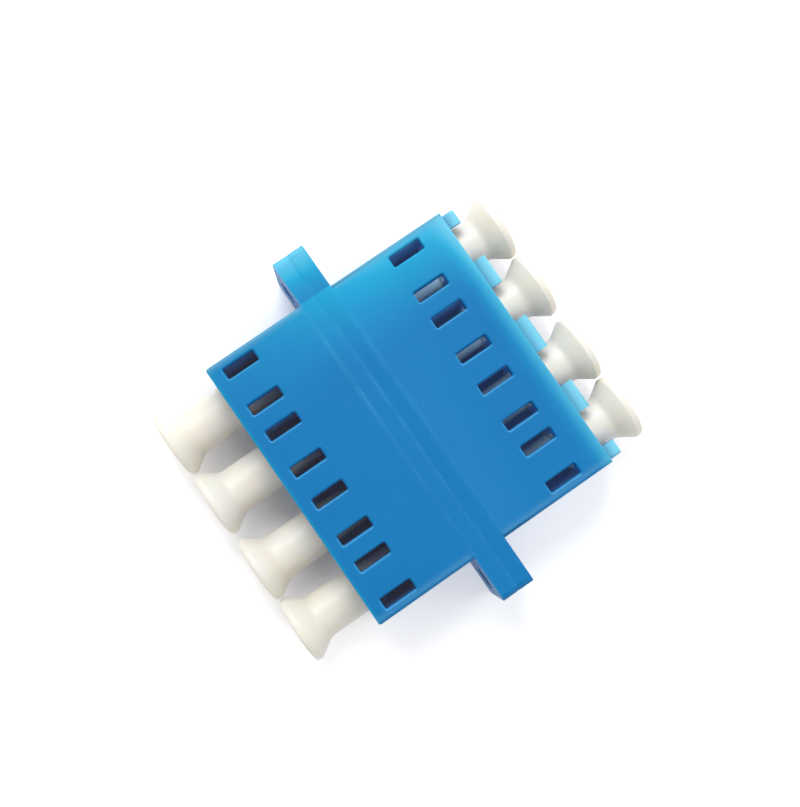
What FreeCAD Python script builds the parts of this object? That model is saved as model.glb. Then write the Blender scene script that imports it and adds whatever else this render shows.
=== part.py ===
import FreeCAD, Part
import operator
import os
import types

import Sketcher
from FreeCAD import Placement, Rotation, Vector

# Four-port LC adapter with a flange, its alignment sleeves and its dust caps.
# X runs along the row of ports, Y along the plugs, Z up. The origin is below the middle of the
# flange: Y = 0 is the weld between the two housing halves, Z = 0 the surface the adapter lies on.

DRIVING_SIZES = {
    "overallLength": 34.6,    # over the dust caps of both ends
    # ports and the walls round them
    "pairPitch": 6.25,        # between the two ports of a pair
    "midPitch": 6.8,          # between the two pairs
    "portWidth": 4.65,        # square opening for the plug's nose
    "outerWall": 0.775,       # beside the outermost ports
    "floorWall": 1.475,       # below the ports
    "roofWall": 1.2,          # above the latch channels
    "webHalf": 1.5,           # from the weld to the bottom of a port
    "mouthBevel": 0.3,        # lead-in round each port
    # latch channels and the windows that the latch lugs snap into
    "latchWidth": 3.5,
    "latchRise": 1.975,       # above the port's ceiling
    "latchRun": 1.4,          # channel beyond the windows, towards the web
    "windowLength": 3.0,
    "windowWidth": 1.0,
    "windowRound": 0.15,      # corners of a window
    # ends of the two halves
    "shortLip": 1.18,         # short half, beyond its windows
    "halfStep": 1.55,         # the long half's top reaches this much further
    "tabLength": 1.6,         # lower ledge beyond the long half's top
    "ledgeWall": 0.875,       # ledge above the ports' ceiling
    "bodyRound": 0.3,
    "endRound": 0.2,
    # flange
    "flangeHalf": 1.5,        # thickness on each side of the weld
    "flangeProud": 0.05,      # above and below the body
    "earLength": 4.25,
    "earRound": 0.6,
    "earHole": 2.2,
    "earHoleOut": 2.25,       # from the body's side to the screw's axis
    "seamBevel": 0.1,
    # pins that line up the two halves before they are welded
    "pinDiameter": 1.0,
    "pinLength": 0.8,
    "pinGap": 0.05,
    "pinEndGap": 0.1,
    # alignment sleeves and the bosses that hold them
    "sleeveLength": 6.8,
    "sleeveOuter": 1.62,
    "sleeveBore": 1.25,
    "sleeveSlit": 0.3,
    "sleeveBevel": 0.06,
    "sleeveGap": 0.05,
    "sleeveEndGap": 0.1,
    "ferruleGap": 0.075,
    "lipLength": 0.7,
    "lipBevel": 0.2,
    "bossWall": 0.44,
    # dust caps
    "neckGap": 0.3,           # neck inside the square port
    "tubeGap": 0.525,         # tube inside the square port
    "collarGap": 0.05,        # collar inside the square port
    "capBossGap": 0.08,       # bore over the boss
    "capWebGap": 0.7,         # inner end above the web
    "capBoreRun": 3.0,        # bore beyond the boss
    "tubeLeadIn": 0.15,
    "collarWidth": 0.7,
    "collarMouthGap": 0.35,   # from the collar to the short half's mouth
    "neckOut": 0.95,          # neck in front of the ledge
    "flareLength": 1.5,
    "rimLength": 0.65,
    "rimGap": 0.15,           # between the rims of a pair
    "flareBlend": 0.9,
    "rimRound": 0.6,
    "dimpleDiameter": 2.0,
    "dimpleDepth": 0.25,
}


class Size:
    # a length with its present value and the expression that ties it to the sheet

    def __init__(self, value, text):
        self.value = value
        self.text = text

    def __add__(self, other):
        return joined(self, "+", other)

    def __sub__(self, other):
        return joined(self, "-", other)

    def __mul__(self, other):
        return joined(self, "*", other)

    def __truediv__(self, other):
        return joined(self, "/", other)

    def __neg__(self):
        return joined(0, "-", self)


def as_size(item):
    return item if isinstance(item, Size) else Size(float(item), str(item))


def joined(left, sign, right):
    work = {"+": operator.add, "-": operator.sub, "*": operator.mul, "/": operator.truediv}[sign]
    left = as_size(left)
    right = as_size(right)
    return Size(work(left.value, right.value), f"({left.text} {sign} {right.text})")


doc = FreeCAD.newDocument("LcAdapter")


def make_sheet():
    sheet = doc.addObject("Spreadsheet::Sheet", "Sizes")
    for row, (name, value) in enumerate(DRIVING_SIZES.items(), start=1):
        sheet.set(f"A{row}", name)
        sheet.set(f"B{row}", str(value))
        sheet.setAlias(f"B{row}", name)
    doc.recompute()
    return types.SimpleNamespace(**{n: Size(v, f"Sizes.{n}") for n, v in DRIVING_SIZES.items()})


dim = make_sheet()

# places that follow from the driving sizes; those along Y count from the weld
portX = [
    -(dim.midPitch / 2 + dim.pairPitch),
    -(dim.midPitch / 2),
    dim.midPitch / 2,
    dim.midPitch / 2 + dim.pairPitch,
]
bodyWidth = dim.midPitch + dim.pairPitch * 2 + dim.portWidth + dim.outerWall * 2
flangeWidth = bodyWidth + dim.earLength * 2
bodyBottom = dim.flangeProud
portFloor = bodyBottom + dim.floorWall
portRoof = portFloor + dim.portWidth
axisHeight = portFloor + dim.portWidth / 2
latchTop = portRoof + dim.latchRise
bodyTop = latchTop + dim.roofWall
flangeTop = bodyTop + dim.flangeProud
ledgeTop = portRoof + dim.ledgeWall
capEnd = dim.overallLength / 2
flareStart = capEnd - dim.rimLength - dim.flareLength
tabEnd = flareStart - dim.neckOut
longEnd = tabEnd - dim.tabLength
shortEnd = longEnd - dim.halfStep
windowFar = shortEnd - dim.shortLip
windowNear = windowFar - dim.windowLength
latchInner = windowNear - dim.latchRun
sleevePocket = dim.sleeveOuter + dim.sleeveGap * 2
sleeveSeat = dim.sleeveLength / 2 + dim.sleeveEndGap
ferruleHole = dim.sleeveBore + dim.ferruleGap * 2
bossDiameter = sleevePocket + dim.bossWall * 2
bossTip = sleeveSeat + dim.lipLength
pinX = dim.midPitch / 2 + dim.pairPitch / 2
neckRadius = dim.portWidth / 2 - dim.neckGap
tubeRadius = dim.portWidth / 2 - dim.tubeGap
collarRadius = dim.portWidth / 2 - dim.collarGap
rimRadius = (dim.pairPitch - dim.rimGap) / 2

SAME_PLACE = 1e-3            # two edges nearer than this are at one place
SHORT, LONG = "short", "long"    # the halves on the -Y and the +Y side of the weld


def outward(size, side):
    # a distance from the weld as a place on the Y axis
    return size if side == LONG else -size


def half_end(side):
    return outward(shortEnd if side == SHORT else tabEnd, side)


# ---- bodies, sketches and features

def new_body(label):
    body = doc.addObject("PartDesign::Body", label)
    body.Label = label
    return body


def new_sketch(body, role, name, side=LONG, offset=None):
    # the origin's XZ plane faces -Y, so an offset away from the weld changes sign
    sketch = body.newObject("Sketcher::SketchObject", name)
    plane = [item for item in body.Origin.OriginFeatures if item.Role == role][0]
    sketch.AttachmentSupport = [(plane, "")]
    sketch.MapMode = "FlatFace"
    if offset is not None:
        turned = -outward(offset, side) if role == "XZ_Plane" else offset
        sketch.AttachmentOffset = Placement(Vector(0, 0, turned.value), Rotation())
        sketch.setExpression("AttachmentOffset.Base.z", turned.text)
    return sketch


def dimension(sketch, kind, items, size, name):
    index = sketch.addConstraint(Sketcher.Constraint(kind, *items, size.value))
    sketch.renameConstraint(index, name)
    sketch.setExpression(f"Constraints.{name}", size.text)


def place_point(sketch, line, end, x, y, name):
    # a point on an axis is held by that axis, any other by its distance from the origin
    for kind, size, axis in (("DistanceX", as_size(x), -2), ("DistanceY", as_size(y), -1)):
        if size.text in ("0", "0.0"):
            sketch.addConstraint(Sketcher.Constraint("PointOnObject", line, end, axis))
        else:
            dimension(sketch, kind, (-1, 1, line, end), size, f"{name}{kind[-1]}")


def draw_outline(sketch, points):
    first = sketch.GeometryCount
    count = len(points)
    for index, (x, y) in enumerate(points):
        far_x, far_y = points[(index + 1) % count]
        start = Vector(as_size(x).value, as_size(y).value, 0)
        end = Vector(as_size(far_x).value, as_size(far_y).value, 0)
        sketch.addGeometry(Part.LineSegment(start, end), False)
    for index in range(count):
        following = first + (index + 1) % count
        sketch.addConstraint(Sketcher.Constraint("Coincident", first + index, 2, following, 1))
    for index, (x, y) in enumerate(points):
        place_point(sketch, first + index, 1, x, y, f"corner{first + index}")


def draw_rectangle(sketch, left, low, wide, tall):
    first = sketch.GeometryCount
    x, y = left.value, low.value
    far_x, far_y = x + wide.value, y + tall.value
    corners = [Vector(x, y, 0), Vector(far_x, y, 0), Vector(far_x, far_y, 0), Vector(x, far_y, 0)]
    for index in range(4):
        sketch.addGeometry(Part.LineSegment(corners[index], corners[(index + 1) % 4]), False)
    for index in range(4):
        following = first + (index + 1) % 4
        sketch.addConstraint(Sketcher.Constraint("Coincident", first + index, 2, following, 1))
        kind = "Horizontal" if index % 2 == 0 else "Vertical"
        sketch.addConstraint(Sketcher.Constraint(kind, first + index))
    place_point(sketch, first, 1, left, low, f"corner{first}")
    dimension(sketch, "DistanceX", (first, 1, first, 2), wide, f"wide{first}")
    dimension(sketch, "DistanceY", (first + 1, 1, first + 1, 2), tall, f"tall{first}")


def draw_circle(sketch, x, y, diameter):
    index = sketch.GeometryCount
    centre = Vector(as_size(x).value, as_size(y).value, 0)
    sketch.addGeometry(Part.Circle(centre, Vector(0, 0, 1), diameter.value / 2), False)
    dimension(sketch, "Diameter", (index,), diameter, f"across{index}")
    place_point(sketch, index, 3, x, y, f"centre{index}")


def volume_of(body):
    doc.recompute()
    return body.Shape.Volume


def pad(body, sketch, name, length, side=SHORT, symmetric=False):
    feature = body.newObject("PartDesign::Pad", name)
    feature.Profile = sketch
    feature.setExpression("Length", length.text)
    feature.Length = length.value
    if symmetric:
        feature.SideType = "Symmetric"
    feature.Reversed = side == LONG
    doc.recompute()
    return feature


def pocket(body, sketch, name, side=SHORT, length=None, upward=False):
    # cuts away from the weld on a half, or upward from a level sketch
    before = volume_of(body)
    feature = body.newObject("PartDesign::Pocket", name)
    feature.Profile = sketch
    feature.Reversed = upward or side == SHORT
    if length is None:
        feature.Type = "ThroughAll"
    else:
        feature.setExpression("Length", length.text)
        feature.Length = length.value
    if volume_of(body) > before - SAME_PLACE:
        raise ValueError(f"{body.Label}: {name} removes nothing")
    return feature


def dress(body, kind, name, size, base, wanted):
    # a fillet or chamfer on every edge of `base` that the test `wanted` picks
    names = [f"Edge{n}" for n, edge in enumerate(base.Shape.Edges, start=1) if wanted(edge)]
    if not names:
        raise ValueError(f"{body.Label}: {name} finds no edges")
    feature = body.newObject(f"PartDesign::{kind}", name)
    feature.Base = (base, names)
    prop = "Radius" if kind == "Fillet" else "Size"
    feature.setExpression(prop, size.text)
    setattr(feature, prop, size.value)
    doc.recompute()
    return feature


def near(value, target):
    return abs(value - target) < SAME_PLACE


def in_plane_y(edge, y):
    return near(edge.BoundBox.YMin, y) and near(edge.BoundBox.YMax, y)


def lies_along_y(edge):
    box = edge.BoundBox
    return near(box.XLength, 0) and near(box.ZLength, 0) and not near(box.YLength, 0)


def stands_up(edge):
    box = edge.BoundBox
    return near(box.XLength, 0) and near(box.YLength, 0) and not near(box.ZLength, 0)


# ---- housing halves

def housing_outline(side):
    # seen from +X: the long half steps down to a ledge beyond its top
    if side == SHORT:
        return [(0, bodyBottom), (-shortEnd, bodyBottom), (-shortEnd, bodyTop), (0, bodyTop)]
    return [(0, bodyBottom), (tabEnd, bodyBottom), (tabEnd, ledgeTop),
            (longEnd, ledgeTop), (longEnd, bodyTop), (0, bodyTop)]


def add_block(body, side):
    sketch = new_sketch(body, "YZ_Plane", "BlockOutline")
    draw_outline(sketch, housing_outline(side))
    pad(body, sketch, "Block", bodyWidth, symmetric=True)
    sketch = new_sketch(body, "XZ_Plane", "FlangeOutline")
    draw_rectangle(sketch, -(flangeWidth / 2), as_size(0), flangeWidth, flangeTop)
    return pad(body, sketch, "Flange", dim.flangeHalf, side)


def round_outside(body, side, base):
    body_side = bodyWidth.value / 2
    ear_side = flangeWidth.value / 2
    end_y = half_end(side).value
    base = dress(body, "Fillet", "BodyEdges", dim.bodyRound, base,
                 lambda e: lies_along_y(e) and near(abs(e.BoundBox.XMin), body_side))
    base = dress(body, "Fillet", "EarEdges", dim.earRound, base,
                 lambda e: lies_along_y(e) and near(abs(e.BoundBox.XMin), ear_side))
    base = dress(body, "Fillet", "EndEdges", dim.endRound, base, lambda e: in_plane_y(e, end_y))
    return dress(body, "Chamfer", "WeldSeam", dim.seamBevel, base, lambda e: in_plane_y(e, 0))


def cut_ports(body, side):
    sketch = new_sketch(body, "XZ_Plane", "PortOutlines", side, dim.webHalf)
    for x in portX:
        draw_rectangle(sketch, x - dim.portWidth / 2, portFloor, dim.portWidth, dim.portWidth)
    pocket(body, sketch, "Ports", side)
    sketch = new_sketch(body, "XZ_Plane", "LatchOutlines", side, latchInner)
    for x in portX:
        # starts at the plug's axis, inside the port, so that channel and port open into each other
        tall = latchTop - axisHeight
        draw_rectangle(sketch, x - dim.latchWidth / 2, axisHeight, dim.latchWidth, tall)
    return pocket(body, sketch, "LatchChannels", side)


def cut_windows(body, side):
    # each window's outer side runs on down into the side wall of its port
    sketch = new_sketch(body, "XY_Plane", "WindowOutlines", offset=axisHeight)
    low = windowNear if side == LONG else -windowFar
    for x in portX:
        draw_rectangle(sketch, x - dim.portWidth / 2, low, dim.windowWidth, dim.windowLength)
        draw_rectangle(sketch, x + dim.portWidth / 2 - dim.windowWidth, low,
                       dim.windowWidth, dim.windowLength)
    base = pocket(body, sketch, "Windows", upward=True)
    ends = (outward(windowNear, side).value, outward(windowFar, side).value)
    return dress(body, "Fillet", "WindowCorners", dim.windowRound, base,
                 lambda e: stands_up(e) and near(e.BoundBox.ZMax, bodyTop.value)
                 and any(near(e.BoundBox.YMin, y) for y in ends))


def add_bosses(body, side):
    sketch = new_sketch(body, "XZ_Plane", "BossCircles", side, dim.webHalf)
    for x in portX:
        draw_circle(sketch, x, axisHeight, bossDiameter)
    pad(body, sketch, "Bosses", bossTip - dim.webHalf, side)
    sketch = new_sketch(body, "XZ_Plane", "SleevePocketCircles")
    for x in portX:
        draw_circle(sketch, x, axisHeight, sleevePocket)
    pocket(body, sketch, "SleevePockets", side, sleeveSeat)
    sketch = new_sketch(body, "XZ_Plane", "FerruleHoleCircles")
    for x in portX:
        draw_circle(sketch, x, axisHeight, ferruleHole)
    base = pocket(body, sketch, "FerruleHoles", side)
    tip_y = outward(bossTip, side).value
    return dress(body, "Chamfer", "FerruleLeadIns", dim.lipBevel, base,
                 lambda e: in_plane_y(e, tip_y) and near(e.BoundBox.XLength, ferruleHole.value))


def bevel_mouths(body, side, base):
    # the long half's mouths stay open at the latch slots, so only their floor and sides are bevelled
    end_y = half_end(side).value
    reach = dim.portWidth.value / 2 + SAME_PLACE

    def wanted(edge):
        box = edge.BoundBox
        close = min(abs(box.Center.x - x.value) for x in portX) < reach
        low_enough = side == SHORT or box.ZMax < portRoof.value + SAME_PLACE
        above_floor = box.ZMin > portFloor.value - SAME_PLACE
        inside = above_floor and box.ZMax < latchTop.value + SAME_PLACE
        flat_roof = side == LONG and near(box.ZMin, portRoof.value)
        return in_plane_y(edge, end_y) and close and inside and low_enough and not flat_roof

    return dress(body, "Chamfer", "MouthBevels", dim.mouthBevel, base, wanted)


def cut_ear_holes(body, side):
    sketch = new_sketch(body, "XZ_Plane", "EarHoleCircles")
    reach = bodyWidth / 2 + dim.earHoleOut
    for x in (-reach, reach):
        draw_circle(sketch, x, flangeTop / 2, dim.earHole)
    return pocket(body, sketch, "EarHoles", side)


def add_weld_pins(body):
    sketch = new_sketch(body, "XZ_Plane", "PinCircles")
    for x in (-pinX, pinX):
        draw_circle(sketch, x, axisHeight, dim.pinDiameter)
    return pad(body, sketch, "WeldPins", dim.pinLength, LONG)


def cut_pin_sockets(body):
    sketch = new_sketch(body, "XZ_Plane", "SocketCircles")
    for x in (-pinX, pinX):
        draw_circle(sketch, x, axisHeight, dim.pinDiameter + dim.pinGap * 2)
    return pocket(body, sketch, "PinSockets", LONG, dim.pinLength + dim.pinEndGap)


def make_housing(label, side):
    body = new_body(label)
    base = add_block(body, side)
    round_outside(body, side, base)
    base = cut_ports(body, side)
    bevel_mouths(body, side, base)
    cut_windows(body, side)
    add_bosses(body, side)
    cut_ear_holes(body, side)
    if side == SHORT:
        add_weld_pins(body)
    else:
        cut_pin_sockets(body)
    return body


# ---- sleeves and dust caps

def place(body, x, turned=False):
    body.Placement = Placement(Vector(x.value, 0, axisHeight.value),
                               Rotation(Vector(0, 0, 1), 180 if turned else 0))
    body.setExpression("Placement.Base.x", x.text)
    body.setExpression("Placement.Base.z", axisHeight.text)


def make_sleeve(label, x):
    body = new_body(label)
    sketch = new_sketch(body, "XZ_Plane", "Ring")
    draw_circle(sketch, 0, 0, dim.sleeveOuter)
    draw_circle(sketch, 0, 0, dim.sleeveBore)
    base = pad(body, sketch, "Tube", dim.sleeveLength, symmetric=True)
    ends = dim.sleeveLength.value / 2
    dress(body, "Chamfer", "EndBevels", dim.sleeveBevel, base,
          lambda e: in_plane_y(e, ends) or in_plane_y(e, -ends))
    sketch = new_sketch(body, "XY_Plane", "SlitOutline")
    draw_rectangle(sketch, -(dim.sleeveSlit / 2), -dim.sleeveLength, dim.sleeveSlit,
                   dim.sleeveLength * 2)
    pocket(body, sketch, "Slit", upward=True)
    place(body, x)
    return body


def cap_outline():
    # half section of a cap whose axis is Y, from its inner end to its rim; the tube's bore rides
    # on the boss, and the collar between tube and neck, with its sloped shoulders, in the mouth
    bore = bossDiameter / 2 + dim.capBossGap
    inner = dim.webHalf + dim.capWebGap
    bore_end = bossTip + dim.capBoreRun
    slope = dim.neckGap - dim.collarGap
    collar_end = shortEnd - dim.collarMouthGap
    collar_start = collar_end - dim.collarWidth
    dimple = dim.dimpleDiameter / 2
    dimple_floor = capEnd - dim.dimpleDepth
    return [(bore, inner), (tubeRadius - dim.tubeLeadIn, inner), (tubeRadius, inner + dim.tubeLeadIn),
            (tubeRadius, collar_start), (collarRadius, collar_start + slope),
            (collarRadius, collar_end - slope), (neckRadius, collar_end),
            (neckRadius, flareStart), (rimRadius, flareStart + dim.flareLength), (rimRadius, capEnd),
            (dimple, capEnd), (dimple, dimple_floor), (0, dimple_floor),
            (0, bore_end), (bore, bore_end)]


def circle_at(y, radius):
    return lambda e: in_plane_y(e, y.value) and near(e.BoundBox.XLength, radius.value * 2)


def make_cap(label, x, side):
    body = new_body(label)
    sketch = new_sketch(body, "XY_Plane", "HalfSection")
    draw_outline(sketch, cap_outline())
    turned = body.newObject("PartDesign::Revolution", "Turned")
    turned.Profile = sketch
    turned.ReferenceAxis = (sketch, ["V_Axis"])
    turned.Angle = 360
    doc.recompute()
    base = dress(body, "Fillet", "FlareBlend", dim.flareBlend, turned, circle_at(flareStart, neckRadius))
    dress(body, "Fillet", "RimRound", dim.rimRound, base, circle_at(capEnd, rimRadius))
    place(body, x, turned=side == SHORT)
    return body


def make_all():
    nodes = [make_housing("housing_short_half", SHORT), make_housing("housing_long_half", LONG)]
    for number, x in enumerate(portX, start=1):
        nodes.append(make_sleeve(f"split_sleeve_{number}", x))
    for side, half in ((SHORT, "short"), (LONG, "long")):
        for number, x in enumerate(portX, start=1):
            nodes.append(make_cap(f"dust_cap_{half}_{number}", x, side))
    return nodes


def check_document():
    doc.recompute()
    for item in doc.Objects:
        if "Invalid" in item.State or "Error" in item.State:
            raise ValueError(f"{item.Label} failed: {item.State}")


def write_nodes(nodes):
    os.makedirs("parts", exist_ok=True)
    for node in nodes:
        shape = node.Shape
        if shape.isNull() or not shape.isValid() or len(shape.Solids) != 1:
            raise ValueError(f"{node.Label} is not one valid solid")
    for node in nodes:
        node.Shape.exportStep(f"parts/{node.Label}.step")
        box = node.Shape.BoundBox
        print(f"{node.Label}: {node.Shape.Volume:.2f} mm3, Y {box.YMin:.2f} to {box.YMax:.2f}")


allNodes = make_all()
check_document()
write_nodes(allNodes)
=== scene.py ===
import math
import bmesh
import bpy
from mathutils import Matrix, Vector


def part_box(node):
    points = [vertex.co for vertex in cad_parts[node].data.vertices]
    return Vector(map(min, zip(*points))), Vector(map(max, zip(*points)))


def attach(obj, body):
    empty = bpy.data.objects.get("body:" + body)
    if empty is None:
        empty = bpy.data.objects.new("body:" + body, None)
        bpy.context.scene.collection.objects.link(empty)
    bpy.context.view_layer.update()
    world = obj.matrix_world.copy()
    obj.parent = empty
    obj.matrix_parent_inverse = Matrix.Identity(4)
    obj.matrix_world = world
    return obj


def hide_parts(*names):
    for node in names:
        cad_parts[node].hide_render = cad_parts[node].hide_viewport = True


# X runs along the row of ports, Y along the plugs towards the long half, and Z up.
# The weld between the two halves is at Y = 0.
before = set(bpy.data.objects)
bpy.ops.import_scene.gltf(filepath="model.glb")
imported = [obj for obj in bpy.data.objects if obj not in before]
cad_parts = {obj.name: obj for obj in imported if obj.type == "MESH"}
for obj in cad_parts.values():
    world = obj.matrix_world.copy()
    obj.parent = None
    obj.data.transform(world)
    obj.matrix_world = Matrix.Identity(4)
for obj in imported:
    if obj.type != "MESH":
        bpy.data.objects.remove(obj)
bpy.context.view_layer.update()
mm = 0.001
black = (0, 0, 0, 1)
print("frame loaded:", len(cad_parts), "nodes")


# shader helpers

class Wire:
    # a socket in a material; sums and products of wires add the Math nodes they need
    def __init__(self, tree, socket):
        self.tree = tree
        self.socket = socket

    def calc(self, operation, *others):
        return addNode(self.tree, "ShaderNodeMath", {"operation": operation},
                       dict(enumerate([self, *others])))

    def __add__(self, other):
        return self.calc("ADD", other)

    def __sub__(self, other):
        return self.calc("SUBTRACT", other)

    def __rsub__(self, other):
        return addNode(self.tree, "ShaderNodeMath", {"operation": "SUBTRACT"}, {0: other, 1: self})

    def __mul__(self, other):
        return self.calc("MULTIPLY", other)

    __radd__ = __add__
    __rmul__ = __mul__

    def power(self, other):
        return self.calc("POWER", other)

    def absolute(self):
        return self.calc("ABSOLUTE")

    def clipped(self):
        return addNode(self.tree, "ShaderNodeClamp", {}, {"Value": self})

    def between(self, low, high, toLow=0.0, toHigh=1.0):
        # goes from toLow to toHigh while the wire goes from low to high
        return addNode(self.tree, "ShaderNodeMapRange", {}, {
            "Value": self, "From Min": low, "From Max": high, "To Min": toLow, "To Max": toHigh})

    def axes(self):
        split = addNode(self.tree, "ShaderNodeSeparateXYZ", {}, {"Vector": self})
        return [Wire(self.tree, output) for output in split.socket.node.outputs]


def addNode(tree, kind, settings=None, inputs=None, output=0):
    # makes one node: its settings first, then the values or wires of its sockets
    node = tree.nodes.new(kind)
    for name, value in (settings or {}).items():
        setattr(node, name, value)
    for name, value in (inputs or {}).items():
        socket = node.inputs[name]
        if isinstance(value, Wire):
            tree.links.new(value.socket, socket)
        else:
            socket.default_value = value
    return Wire(tree, node.outputs[output]) if node.outputs else None


def newMaterial(name):
    material = bpy.data.materials.new(name)
    material.use_nodes = True
    material.node_tree.nodes.clear()
    return material, material.node_tree


def closeMaterial(tree, shader):
    addNode(tree, "ShaderNodeOutputMaterial", {}, {"Surface": shader})


def mixColors(factor, first, second):
    # sockets 6 and 7 are the colour pair of the Mix node, and output 2 its colour
    return addNode(factor.tree, "ShaderNodeMix", {"data_type": "RGBA"},
                   {0: factor, 6: first, 7: second}, output=2)


def placeOnPiece(tree):
    return addNode(tree, "ShaderNodeTexCoord", output="Object")


def noise(where, scale, detail=2.0, roughness=0.5):
    return addNode(where.tree, "ShaderNodeTexNoise", {}, {"Vector": where, "Scale": scale,
                                                          "Detail": detail, "Roughness": roughness})


def bump(height, strength, depth):
    return addNode(height.tree, "ShaderNodeBump", {}, {"Strength": strength, "Distance": depth,
                                                       "Height": height})


# materials; colours are linear

bluePlastic = {
    "color": (0.004, 0.196, 0.495, 1),
    "shade": (0.003, 0.163, 0.430, 1),            # where the melt cooled last
    "shadeShare": 0.30,
    "speck": (0.050, 0.320, 0.680, 1),            # pigment that did not mix in
    "speckShare": 0.12,
    "paintedHighlight": (0.052, 0.370, 0.740, 1),            # painted highlight: pale flange lines, edges facing the key light, the weld bead
    "rim": (0.155, 0.405, 0.580, 1),              # painted highlight along the rims of the top face
    "light": (0.006, 0.405, 0.690, 1),            # painted light towards the lit side, the ears and both ends: where the change begins
    "pale": (0.120, 0.560, 0.820, 1),             # and where it is full
    "paintedLedgeLight": (0.240, 0.720, 0.890, 1),         # painted light on the ledge over the long half's ports
    "insideLong": (0.013, 0.020, 0.042, 1),       # painted glow for the daylight that the thin walls let into the ports
    "insideShort": (0.017, 0.013, 0.014, 1),

    # paler parts, painted light: where each starts, where it is full, how much
    "sidePale": (-5.0 * mm, -13.35 * mm, 0.75),
    "earPale": (-12.9 * mm, -17.0 * mm, 1.00),
    "endPale": (10.6 * mm, 12.6 * mm, 0.55),
    "shortEndPale": (-10.70 * mm, -11.05 * mm, 0.50),
    "rimPale": (-12.00 * mm, -12.75 * mm, 0.90),
    "farRimPale": (11.80 * mm, 12.25 * mm, 0.20),
    "ledgePale": (11.4 * mm, 14.0 * mm, 0.95),
    "haze": 0.08,                                 # painted bloom of light near the long half's -X corner
    "paleCurve": 1.6,                             # power of the way from start to full
    "lightSpan": (0, 0.55),                       # of the paleness, for the first colour
    "paleSpan": (0.45, 1),                        # and for the second

    # what holds those parts in: where from and where to, then two levels other than 0 and 1
    "onTop": (8.5 * mm, 9.3 * mm),
    "onBody": (-12.85 * mm, -12.75 * mm, 0.3, 1.0),
    "sideAlong": (-8 * mm, 6 * mm, 0.2, 1.0),
    "endAcross": (-13 * mm, 13 * mm, 1.15, 0.65),
    "farRimAcross": (12.7 * mm, 12.4 * mm),
    "offFlange": (1.4 * mm, 1.9 * mm),            # on each side of the weld
    "ledgeUp": (6.2 * mm, 6.9 * mm),
    "hazeAcross": (-6 * mm, -11 * mm),
    "hazeAlong": (8 * mm, 11 * mm),

    # inside the ports: from no daylight to all of it
    "portsAcross": (12.5 * mm, 12.3 * mm),
    "portsFar": (10.8 * mm, 10.4 * mm),
    "portsNear": (1.6 * mm, 2.0 * mm),
    "portsRoof": (9.0 * mm, 8.6 * mm),
    "portsFloor": (0.6 * mm, 1.0 * mm),
    "longSide": (-1 * mm, 1 * mm),                # from the short half's colour to the long half's

    # painted highlights on lines and edges
    "lines": ((-1.5, 0.24, 0.70), (0.0, 0.26, 0.40), (1.5, 0.34, 0.28)),    # mm: place, reach, strength
    "lineFade": (-13 * mm, 8 * mm, 1.0, 0.35),    # along X
    "lineBreaks": (0.35, 0.60, 0.45, 1.0),        # noise from and to, and the strengths there
    "lineBreakScale": 0.45 / mm,
    "litSide": (-1.15, 0.80),                    # X and Y of the way that edges with the painted highlight face, towards the key light

    "flowSize": 7.0 * mm,
    "flowDetail": 3.0,
    "flowSpan": (0.35, 0.65),
    "speckSize": 0.22 * mm,
    "speckSpan": (0.60, 0.72),
    "grainSize": 0.11 * mm,                       # spark-eroded mould texture
    "grainDepth": 0.0035 * mm,
    "grainDetail": 3.0,
    "grainRoughness": 0.6,
    "bumpStrength": 0.55,
    "roughness": 0.40,
    "roughByGrain": 0.16,
    "roughByFlow": 0.05,
    "gloss": 0.18,
    "refraction": 1.5,
}


def paintedHighlightShare(setup, where, highlightAmount, onlyFacingLight):
    # painted highlight: broken pale lines along the weld and the flange's two sides, and a pale share
    # on edges; on the edge finish it shows only on edges that face towards the key light
    across, along, up = where.axes()
    broken = (noise(where, setup["lineBreakScale"]).between(*setup["lineBreaks"])
              * across.between(*setup["lineFade"]))
    lines = 0.0
    for place, reach, strength in setup["lines"]:
        near = (along - place * mm).absolute().between(reach * mm, 0)
        lines = near * strength + lines
    if onlyFacingLight:
        facing = addNode(where.tree, "ShaderNodeTexCoord", output="Normal").axes()
        lightward = [part * share for part, share in zip(facing, setup["litSide"])]
        highlightAmount = (lightward[0] + lightward[1]).clipped() * highlightAmount
    return lines * broken * up.between(*setup["onTop"]) + highlightAmount


def addPaintedLight(setup, where, color):
    # painted light: the top grows paler towards the -X side, the ears and both ends, with painted
    # highlights on the rims and painted light on the ledge
    across, along, up = where.axes()

    def ramp(value, key):
        start, full, amount = setup[key]
        return value.between(start, full).power(setup["paleCurve"]) * amount

    onTop = up.between(*setup["onTop"])
    onBody = across.between(*setup["onBody"])
    side = ramp(across, "sidePale") * along.between(*setup["sideAlong"]) * onBody
    end = ramp(along, "endPale") * across.between(*setup["endAcross"])
    pale = (side + end + ramp(along, "shortEndPale") + ramp(across, "earPale")) * onTop
    haze = across.between(*setup["hazeAcross"]) * along.between(*setup["hazeAlong"]) * setup["haze"]
    farRim = ramp(across, "farRimPale") * across.between(*setup["farRimAcross"])
    offFlange = along.absolute().between(*setup["offFlange"])
    rims = (ramp(across, "rimPale") + farRim) * onBody * offFlange
    ledge = ramp(along, "ledgePale") * up.between(*setup["ledgeUp"])
    color = mixColors(pale.between(*setup["lightSpan"]), color, setup["light"])
    color = mixColors(pale.between(*setup["paleSpan"]) + haze * onTop, color, setup["pale"])
    color = mixColors(rims * onTop, color, setup["rim"])
    return mixColors(ledge, color, setup["paintedLedgeLight"])


def portDaylight(setup, where):
    # painted glow: emission inside the ports stands in for the daylight that reaches them
    across, along, up = where.axes()
    fromWeld = along.absolute()
    inPort = (across.absolute().between(*setup["portsAcross"]) * fromWeld.between(*setup["portsFar"])
              * fromWeld.between(*setup["portsNear"]) * up.between(*setup["portsRoof"])
              * up.between(*setup["portsFloor"]))
    daylight = mixColors(along.between(*setup["longSide"]), setup["insideShort"], setup["insideLong"])
    return mixColors(inPort, black, daylight)


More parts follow.
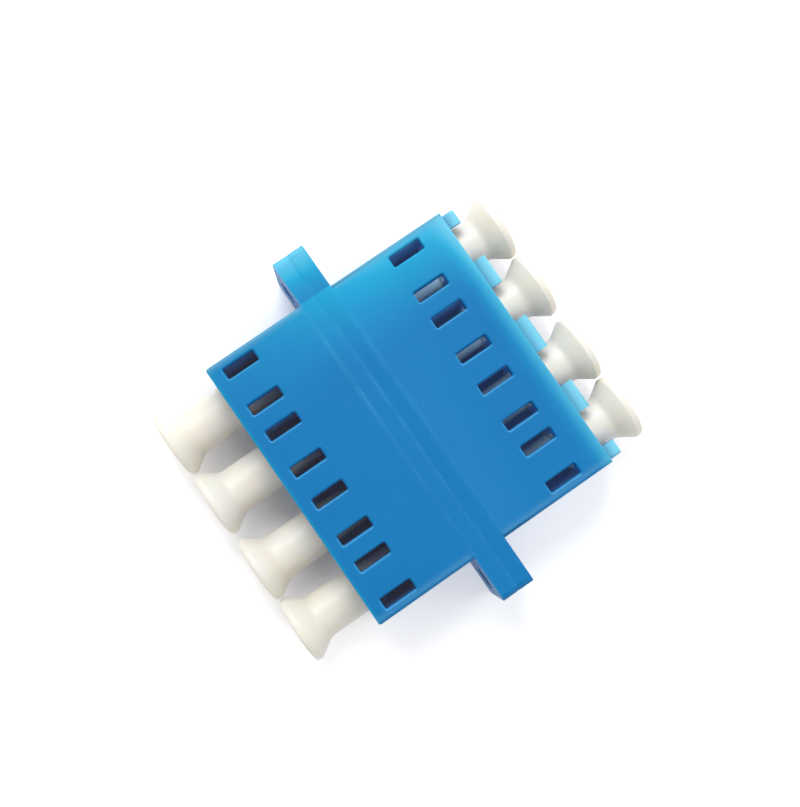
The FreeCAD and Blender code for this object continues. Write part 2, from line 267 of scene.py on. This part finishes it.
def makeBluePlastic(name, setup, highlightAmount=0.0, onlyFacingLight=False):
    material, tree = newMaterial(name)
    where = placeOnPiece(tree)
    flow = noise(where, 1 / setup["flowSize"], setup["flowDetail"]).between(*setup["flowSpan"])
    speck = noise(where, 1 / setup["speckSize"]).between(*setup["speckSpan"])
    grain = noise(where, 1 / setup["grainSize"], setup["grainDetail"], setup["grainRoughness"])
    color = mixColors(flow * setup["shadeShare"], setup["color"], setup["shade"])
    color = mixColors(speck * setup["speckShare"], color, setup["speck"])
    color = mixColors(paintedHighlightShare(setup, where, highlightAmount, onlyFacingLight), color, setup["paintedHighlight"])
    color = addPaintedLight(setup, where, color)
    roughness = (setup["roughness"] + (grain - 0.5) * setup["roughByGrain"]
                 + flow * setup["roughByFlow"])
    shader = addNode(tree, "ShaderNodeBsdfPrincipled", {}, {
        "Base Color": color, "Roughness": roughness, "IOR": setup["refraction"],
        "Normal": bump(grain, setup["bumpStrength"], setup["grainDepth"]),
        "Specular IOR Level": setup["gloss"],
        "Emission Color": portDaylight(setup, where), "Emission Strength": 1.0})
    closeMaterial(tree, shader)
    return material


milkyPlastic = {
    "color": (0.975, 0.905, 0.820, 1),
    "warm": (0.970, 0.850, 0.705, 1),             # in clouds
    "warmShare": 0.5,
    "cloudScale": 0.35 / mm,
    "cloudDetail": 3.0,
    "cloudSpan": (0.3, 0.7),
    "glow": (0.28, 0.46, 0.58, 1),                # painted glow standing in for light in the long half's ports
    "glowStart": (5.0 * mm, 9.9 * mm),            # along Y, from none to full
    "glowEnd": (12.5 * mm, 9.9 * mm),
    "glowAcross": (-8 * mm, 6 * mm, 1.0, 0.35),
    "roughness": 0.38,
    "roughByCloud": 0.10,
    "grainSize": 0.22 * mm,
    "grainDepth": 0.0030 * mm,
    "bumpStrength": 0.5,
    "refraction": 1.5,
    "scatter": 0.6,
    "scatterReach": (1.0, 0.80, 0.45),            # of red, green and blue, times the next
    "scatterScale": 2.0 * mm,
}


def makeMilkyPlastic(setup):
    material, tree = newMaterial("milky_cap_plastic")
    where = placeOnPiece(tree)
    cloud = noise(where, setup["cloudScale"], setup["cloudDetail"]).between(*setup["cloudSpan"])
    grain = noise(where, 1 / setup["grainSize"])
    color = mixColors(cloud * setup["warmShare"], setup["color"], setup["warm"])
    roughness = setup["roughness"] + (cloud - 0.5) * setup["roughByCloud"]
    # the glow belongs to the ports, so it stays behind when a cap is pulled
    # painted glow on the up-facing surfaces of the caps inside the long half's ports
    across, along = addNode(tree, "ShaderNodeNewGeometry", output="Position").axes()[:2]
    facingUp = addNode(tree, "ShaderNodeNewGeometry", output="Normal").axes()[2].clipped()
    piped = (along.between(*setup["glowStart"]) * along.between(*setup["glowEnd"])
             * across.between(*setup["glowAcross"]) * facingUp.power(2))
    shader = addNode(tree, "ShaderNodeBsdfPrincipled", {"subsurface_method": "RANDOM_WALK"}, {
        "Base Color": color, "Roughness": roughness, "IOR": setup["refraction"],
        "Normal": bump(grain, setup["bumpStrength"], setup["grainDepth"]),
        "Subsurface Weight": setup["scatter"], "Subsurface Radius": setup["scatterReach"],
        "Subsurface Scale": setup["scatterScale"],
        "Emission Color": mixColors(piped, black, setup["glow"]), "Emission Strength": 1.0})
    closeMaterial(tree, shader)
    return material


ceramic = {
    "color": (0.84, 0.84, 0.81, 1),
    "warm": (0.78, 0.77, 0.73, 1),
    "warmShare": 0.4,
    "lappingScale": 9 / mm,
    "lappingSpan": (0.4, 0.6),
    "roughness": 0.14,
    "roughByLapping": 0.08,
    "refraction": 2.1,
}


def makeCeramic(setup):
    material, tree = newMaterial("polished_zirconia")
    lapping = noise(placeOnPiece(tree), setup["lappingScale"])
    share = lapping.between(*setup["lappingSpan"]) * setup["warmShare"]
    shader = addNode(tree, "ShaderNodeBsdfPrincipled", {}, {
        "Base Color": mixColors(share, setup["color"], setup["warm"]),
        "Roughness": setup["roughness"] + lapping * setup["roughByLapping"],
        "IOR": setup["refraction"]})
    closeMaterial(tree, shader)
    return material


blueFinish = makeBluePlastic("moulded_blue_plastic", bluePlastic)
# edges take the painted highlight where they face the key light; the weld bead takes a quarter of it
# everywhere
edgeFinish = makeBluePlastic("blue_edges_painted_highlight", bluePlastic, highlightAmount=1.0, onlyFacingLight=True)
weldFinish = makeBluePlastic("weld_flash_plastic", bluePlastic, highlightAmount=0.25)
capFinish = makeMilkyPlastic(milkyPlastic)
ceramicFinish = makeCeramic(ceramic)
print("materials made")


# mesh helpers

def linkMesh(name, build):
    # build is a bmesh in millimetres
    build.normal_update()
    mesh = bpy.data.meshes.new(name)
    bmesh.ops.scale(build, vec=(mm, mm, mm), verts=build.verts)
    build.to_mesh(mesh)
    build.free()
    piece = bpy.data.objects.new(name, mesh)
    bpy.context.scene.collection.objects.link(piece)
    return piece


def joinRings(build, first, second):
    # either ring may be a single point, which gives triangles
    count = max(len(first), len(second))
    for n in range(count):
        corners = [first[n % len(first)], first[(n + 1) % len(first)],
                   second[(n + 1) % len(second)], second[n % len(second)]]
        build.faces.new(list(dict.fromkeys(corners)))


def smoothByAngle(piece, degrees):
    piece.data.shade_smooth()
    piece.data.set_sharp_from_angle(angle=math.radians(degrees))


# housing halves: the moulded solids with their edges broken as a mould leaves them

housing = {
    # mm and degrees; places along Y count from the weld
    "edgeBreak": 0.07,           # on every sharp outer edge
    "windowBreak": 0.20,         # round the top of each latch window
    "windowAt": (6.8, 9.95),
    "windowReach": 12.2,         # no window lies further from the middle
    "endBreak": 0.14,            # along the end of the long half's top
    "endAt": 12.6,
    "stepBreak": 0.03,           # where the flange stands a little proud of the body
    "stepHeight": 0.08,
    "top": 9.35,                 # of the body
    "closeBy": 0.01,             # nearer than this is the same place
    "segments": 3,
    "joinWithin": 1e-4,
    "flatAngle": 0.6,
    "sharpAngle": 50,
    "smoothAngle": 40,
}


def isOnTop(vertex):
    return abs(vertex.co.z - housing["top"]) < housing["closeBy"]


def isOnStep(edge):
    # true for the two low walls between the flange and the body
    lowest = min(face.calc_area() / edge.calc_length() for face in edge.link_faces)
    return lowest < housing["stepHeight"]


def isOnWindow(edge):
    # true for the rims of the latch windows in the top face
    low, high = housing["windowAt"]
    return all(isOnTop(v) and low < abs(v.co.y) < high and abs(v.co.x) < housing["windowReach"]
               for v in edge.verts)


def isOnTopEnd(edge):
    # true where the long half's top face ends over its ports
    return all(isOnTop(v) and abs(v.co.y - housing["endAt"]) < housing["closeBy"] for v in edge.verts)


def bevelEdges(build, edges, size, clamp=True):
    # the new faces take the second material
    bmesh.ops.bevel(build, geom=[e for e in edges if e.is_valid], offset=size,
                    segments=housing["segments"], profile=0.5, affect="EDGES", clamp_overlap=clamp,
                    material=1)


def breakEdges(nodeName, body):
    build = bmesh.new()
    build.from_mesh(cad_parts[nodeName].data)
    bmesh.ops.scale(build, vec=(1 / mm, 1 / mm, 1 / mm), verts=build.verts)
    bmesh.ops.remove_doubles(build, verts=build.verts, dist=housing["joinWithin"])
    bmesh.ops.dissolve_limit(build, angle_limit=math.radians(housing["flatAngle"]),
                             verts=build.verts, edges=build.edges)
    limit = math.radians(housing["sharpAngle"])
    sharp = [e for e in build.edges if len(e.link_faces) == 2 and e.calc_face_angle(0) > limit
             and e.is_convex]
    step = [e for e in sharp if isOnStep(e)]
    windows = [e for e in sharp if isOnWindow(e)]
    topEnd = [e for e in sharp if isOnTopEnd(e)]
    others = [e for e in sharp if e not in step + windows + topEnd]
    bevelEdges(build, windows, housing["windowBreak"], clamp=False)
    bevelEdges(build, topEnd, housing["endBreak"], clamp=False)
    bevelEdges(build, others, housing["edgeBreak"])
    bevelEdges(build, step, housing["stepBreak"])
    piece = linkMesh(f"{nodeName}_moulding", build)
    smoothByAngle(piece, housing["smoothAngle"])
    modifier = piece.modifiers.new("flat faces stay flat", "WEIGHTED_NORMAL")
    modifier.keep_sharp = True
    piece.data.materials.append(blueFinish)
    piece.data.materials.append(edgeFinish)
    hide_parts(nodeName)
    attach(piece, body)
    print(f"{nodeName}: {len(sharp)} edges broken")


for nodeName in ("housing_short_half", "housing_long_half"):
    breakEdges(nodeName, "adapter")
print("housing halves finished")


# weld flash: the fine bead that ultrasonic welding leaves in the groove round the flange

flash = {
    # mm
    "radius": 0.080,
    "waver": 0.012,          # how much the radius changes along the bead
    "waverTurn": 2.3,        # radians from one ring to the next
    "depth": 0.090,          # of its centre below the flange's surface
    "corner": 0.6,           # radius of the ears' corners
    "cornerSteps": 8,
    "edgeSteps": 60,         # over the flange's whole width
    "sides": 8,
    "smoothAngle": 80,       # degrees
}


def roundedRectangle(low, high, corner, cornerSteps, edgeSteps):
    # points and outward directions round an upright rectangle, in millimetres
    corners = [(high.x - corner, high.z - corner, 0), (low.x + corner, high.z - corner, 90),
               (low.x + corner, low.z + corner, 180), (high.x - corner, low.z + corner, 270)]
    points = []
    for x, z, start in corners:
        for step in range(cornerSteps + 1):
            angle = math.radians(start + 90 * step / cornerSteps)
            out = Vector((math.cos(angle), 0, math.sin(angle)))
            points.append((Vector((x, 0, z)) + out * corner, out))
    filled = []
    for n, (point, out) in enumerate(points):
        filled.append((point, out))
        nextPoint = points[(n + 1) % len(points)][0]
        count = int((nextPoint - point).length / (high.x - low.x) * edgeSteps)
        filled += [(point.lerp(nextPoint, k / (count + 1)), out) for k in range(1, count + 1)]
    return filled


def makeWeldFlash():
    low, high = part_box("housing_short_half")
    low, high = low / mm, high / mm
    path = roundedRectangle(low, high, flash["corner"], flash["cornerSteps"], flash["edgeSteps"])
    turns = [2 * math.pi * k / flash["sides"] for k in range(flash["sides"])]
    build = bmesh.new()
    rings = []
    for n, (point, out) in enumerate(path):
        radius = flash["radius"] - flash["waver"] * (1 + math.sin(n * flash["waverTurn"])) / 2
        centre = point - out * flash["depth"]
        rings.append([build.verts.new(centre + out * radius * math.cos(a)
                                      + Vector((0, radius * math.sin(a), 0))) for a in turns])
    for n, ring in enumerate(rings):
        joinRings(build, ring, rings[(n + 1) % len(rings)])
    bmesh.ops.recalc_face_normals(build, faces=build.faces)
    piece = linkMesh("weld_flash", build)
    smoothByAngle(piece, flash["smoothAngle"])
    piece.data.materials.append(weldFinish)
    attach(piece, "adapter")


makeWeldFlash()
print("weld flash finished")


# dust caps: turned profile with a parting line and a gate mark

cap = {
    # mm; places along a cap count from its inner end
    "boreRadius": 1.38,
    "boreRun": 5.0,
    "boreCone": 0.55,            # pointed end of the bore
    "boreRounds": (0.25, 0.12),  # at its bottom and its mouth
    "tubeRadius": 1.80,
    "leadIn": 0.15,
    "leadInRounds": (0.10, 0.15),
    "neckRadius": 2.025,
    "collarRadius": 2.275,
    "collarStart": 7.8,
    "collarEnd": 8.5,
    "collarRound": 0.08,
    "collarFootRounds": (0.12, 0.15),    # on the tube and on the neck
    "flareStart": 12.95,
    "flareEnd": 14.45,
    "flareBlend": 1.1,
    "flareRound": 0.14,
    "rimRound": 0.62,
    "dimpleRadius": 1.0,
    "dimpleDepth": 0.22,
    "dimpleSlope": 0.12,
    "dimpleRound": 0.10,
    "gateRadius": 0.32,
    "gateHeight": 0.12,
    "gateSlope": 0.08,
    "gateRounds": (0.04, 0.05),          # at its foot and its top
    "partingHeight": 0.018,
    "partingWidth": 1.6,                 # degrees to each side
    "partingMargins": (0.10, 0.05),      # inside the neck's and the rim's radius
    "partingClear": 1.5,                 # widths; no even turn lies nearer to a parting line
    "sides": 72,
    "arcSteps": 6,
    "arcShare": 0.49,                    # of a run between corners, the most that one arc takes
    "smoothAngle": 50,                   # degrees
}


def roundedProfile(corners):
    # corners are (along, radius, rounding); each rounding becomes an arc
    steps, share = cap["arcSteps"], cap["arcShare"]
    points = []
    for index, (along, radius, rounding) in enumerate(corners):
        here = Vector((along, radius))
        if rounding == 0 or index in (0, len(corners) - 1):
            points.append(here)
            continue
        before = Vector(corners[index - 1][:2])
        after = Vector(corners[index + 1][:2])
        toBefore = (before - here).normalized()
        toAfter = (after - here).normalized()
        halfAngle = toBefore.angle(toAfter) / 2
        reach = min(rounding / math.tan(halfAngle), (before - here).length * share,
                    (after - here).length * share)
        start = here + toBefore * reach
        end = here + toAfter * reach
        for step in range(steps + 1):
            t = step / steps
            points.append(start * (1 - t) ** 2 + here * 2 * t * (1 - t) + end * t ** 2)
    return points


def capProfile(length, rim):
    bore, tube, neck, collar = (cap[key] for key in ("boreRadius", "tubeRadius", "neckRadius",
                                                     "collarRadius"))
    dimple, gate = cap["dimpleRadius"], cap["gateRadius"]
    start, end, leadIn = cap["collarStart"], cap["collarEnd"], cap["leadIn"]
    slope = collar - neck
    floor = length - cap["dimpleDepth"]
    gateTop = floor + cap["gateHeight"]
    boreBottomRound, boreMouthRound = cap["boreRounds"]
    leadInRound, tubeRound = cap["leadInRounds"]
    tubeFootRound, neckFootRound = cap["collarFootRounds"]
    gateFootRound, gateTopRound = cap["gateRounds"]
    return roundedProfile([
        (cap["boreRun"] + cap["boreCone"], 0, 0),
        (cap["boreRun"], bore, boreBottomRound),
        (0, bore, boreMouthRound),
        (0, tube - leadIn, leadInRound),
        (leadIn, tube, tubeRound),
        (start, tube, tubeFootRound),
        (start + slope, collar, cap["collarRound"]),
        (end - slope, collar, cap["collarRound"]),
        (end, neck, neckFootRound),
        (cap["flareStart"], neck, cap["flareBlend"]),
        (cap["flareEnd"], rim, cap["flareRound"]),
        (length, rim, cap["rimRound"]),
        (length, dimple, cap["dimpleRound"]),
        (floor, dimple - cap["dimpleSlope"], cap["dimpleRound"]),
        (floor, gate + cap["gateSlope"], gateFootRound),
        (gateTop, gate, gateTopRound),
        (gateTop, 0, 0),
    ])


def capAngles():
    # even turns, with extra ones beside the two parting lines
    width = cap["partingWidth"]
    angles = [360 * n / cap["sides"] for n in range(cap["sides"])]
    angles = [a for a in angles if min(abs(a - 180), a, 360 - a) > width * cap["partingClear"]]
    for line in (0, 180):
        angles += [(line - width) % 360, line, line + width]
    return sorted(angles)


def makeCap(nodeName, body):
    low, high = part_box(nodeName)
    low, high = low / mm, high / mm
    rim = (high.x - low.x) / 2
    outward = 1 if high.y > 0 else -1
    inner = low.y if outward > 0 else high.y
    centre = (low + high) / 2
    neckMargin, rimMargin = cap["partingMargins"]
    angles = capAngles()
    build = bmesh.new()
    rings = []
    for along, radius in capProfile(high.y - low.y, rim):
        y = inner + outward * along
        if radius < 1e-6:    # a point on the axis
            rings.append([build.verts.new((centre.x, y, centre.z))])
            continue
        parted = cap["neckRadius"] - neckMargin < radius < rim - rimMargin
        ring = []
        for angle in angles:
            r = radius + (cap["partingHeight"] if parted and angle in (0, 180) else 0)
            a = math.radians(angle)
            ring.append(build.verts.new((centre.x + r * math.cos(a), y, centre.z + r * math.sin(a))))
        rings.append(ring)
    for first, second in zip(rings, rings[1:]):
        joinRings(build, first, second)
    bmesh.ops.recalc_face_normals(build, faces=build.faces)
    piece = linkMesh(f"{nodeName}_turned", build)
    smoothByAngle(piece, cap["smoothAngle"])
    piece.data.materials.append(capFinish)
    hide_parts(nodeName)
    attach(piece, body)


for end in ("short", "long"):
    for number in range(1, 5):
        makeCap(f"dust_cap_{end}_{number}", f"cap_{end}_{number}")
print("dust caps finished")


# alignment sleeves keep their solids

for number in range(1, 5):
    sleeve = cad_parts[f"split_sleeve_{number}"]
    sleeve.data.materials.clear()
    sleeve.data.materials.append(ceramicFinish)
print("sleeves finished")


# floor, light and camera

stage = {
    "floorSize": 3.0,                        # metres
    "floorColor": (0.96, 0.96, 0.96, 1),
    "nearGlow": (0.01, 0.01, 0.01, 1),       # for the camera only: beside the object, a dim glow that leaves painted shade round it
    "farGlow": (0.45, 0.445, 0.448, 1),      # away from it, a bright glow that paints light over the shadows there
    "skyGlow": (0.66, 0.66, 0.66, 1),        # and where the lamps no longer reach
    "glowFrom": (8.5 * mm, 10.0 * mm),       # half width and half length of the part with painted shade
    "glowCentre": (-2.5 * mm, -2.5 * mm),
    "glowReach": 7 * mm,
    "skyReach": (0.10, 0.60),                # metres
    "worldColor": (1, 1, 1, 1),
    "worldLight": 0.42,
}

lamps = {
    # azimuth and height in degrees, azimuth from +X towards +Y; distance and size in metres
    "key": {"azimuth": 165, "height": 54, "distance": 0.38, "size": 0.22, "energy": 0.83},
    "rim": {"azimuth": 132, "height": 18, "distance": 0.34, "size": 0.16, "energy": 0.13},
    "fill": {"azimuth": 72, "height": 54, "distance": 0.38, "size": 0.26, "energy": 0.24},
}


def seenDirectly(tree):
    # 1 for rays from the camera, from gloss and through glass
    kinds = [addNode(tree, "ShaderNodeLightPath", output=f"Is {kind} Ray")
             for kind in ("Camera", "Glossy", "Transmission")]
    return (kinds[0] + kinds[1] + kinds[2]).clipped()


def makeFloor():
    half = stage["floorSize"] / 2
    mesh = bpy.data.meshes.new("floor")
    mesh.from_pydata([(-half, -half, 0), (half, -half, 0), (half, half, 0), (-half, half, 0)], [],
                     [(0, 1, 2, 3)])
    floor = bpy.data.objects.new("floor", mesh)
    bpy.context.scene.collection.objects.link(floor)
    material, tree = newMaterial("pale_floor")
    body = addNode(tree, "ShaderNodeBsdfDiffuse", {}, {"Color": stage["floorColor"]})
    places = zip(placeOnPiece(tree).axes(), stage["glowCentre"], stage["glowFrom"])
    beyond = [((place - centre).absolute() - start).calc("MAXIMUM", 0)
              for place, centre, start in places]
    away = (beyond[0].power(2) + beyond[1].power(2)).power(0.5)
    # the glow is dim near the object and bright away from it: painted shade near the object, painted
    # light over the shadows further out
    glowColor = mixColors(away.between(0, stage["glowReach"]), stage["nearGlow"], stage["farGlow"])
    glowColor = mixColors(away.between(*stage["skyReach"]), glowColor, stage["skyGlow"])
    glow = addNode(tree, "ShaderNodeEmission", {}, {"Color": glowColor, "Strength": seenDirectly(tree)})
    closeMaterial(tree, addNode(tree, "ShaderNodeAddShader", {}, {0: body, 1: glow}))
    mesh.materials.append(material)


def makeWorld():
    # bright where it is seen, softer where it lights
    world = bpy.data.worlds.new("studio")
    world.use_nodes = True
    bpy.context.scene.world = world
    tree = world.node_tree
    tree.nodes.clear()
    strength = stage["worldLight"] + seenDirectly(tree) * (1 - stage["worldLight"])
    back = addNode(tree, "ShaderNodeBackground", {}, {"Color": stage["worldColor"],
                                                      "Strength": strength})
    addNode(tree, "ShaderNodeOutputWorld", {}, {"Surface": back})


def addLamp(name, setup):
    # stands on a half sphere round the origin and looks at it
    light = bpy.data.lights.new(name, "AREA")
    light.shape = "DISK"
    light.size = setup["size"]
    light.energy = setup["energy"]
    lamp = bpy.data.objects.new(name, light)
    turn, rise = math.radians(setup["azimuth"]), math.radians(setup["height"])
    lamp.location = Vector((math.cos(turn) * math.cos(rise), math.sin(turn) * math.cos(rise),
                            math.sin(rise))) * setup["distance"]
    lamp.rotation_euler = (-lamp.location).to_track_quat("-Z", "Y").to_euler()
    bpy.context.scene.collection.objects.link(lamp)


view = {
    "place": (2.753, -7.365, 107.748),      # mm
    "turn": (4.607, -2.505, 55.333),        # degrees
    "lens": 53.07,                          # mm, as the sensor
    "sensor": 36,
    "clip": (0.005, 20),                    # metres
}


def makeCamera():
    data = bpy.data.cameras.new("camera")
    data.lens = view["lens"]
    data.sensor_width = view["sensor"]
    data.clip_start, data.clip_end = view["clip"]
    camera = bpy.data.objects.new("camera", data)
    camera.location = Vector(view["place"]) * mm
    camera.rotation_euler = [math.radians(angle) for angle in view["turn"]]
    bpy.context.scene.collection.objects.link(camera)
    bpy.context.scene.camera = camera


makeFloor()
makeWorld()
for lampName, lampSetup in lamps.items():
    addLamp(lampName, lampSetup)
makeCamera()
bpy.context.scene.view_settings.view_transform = "Standard"
print("stage finished")
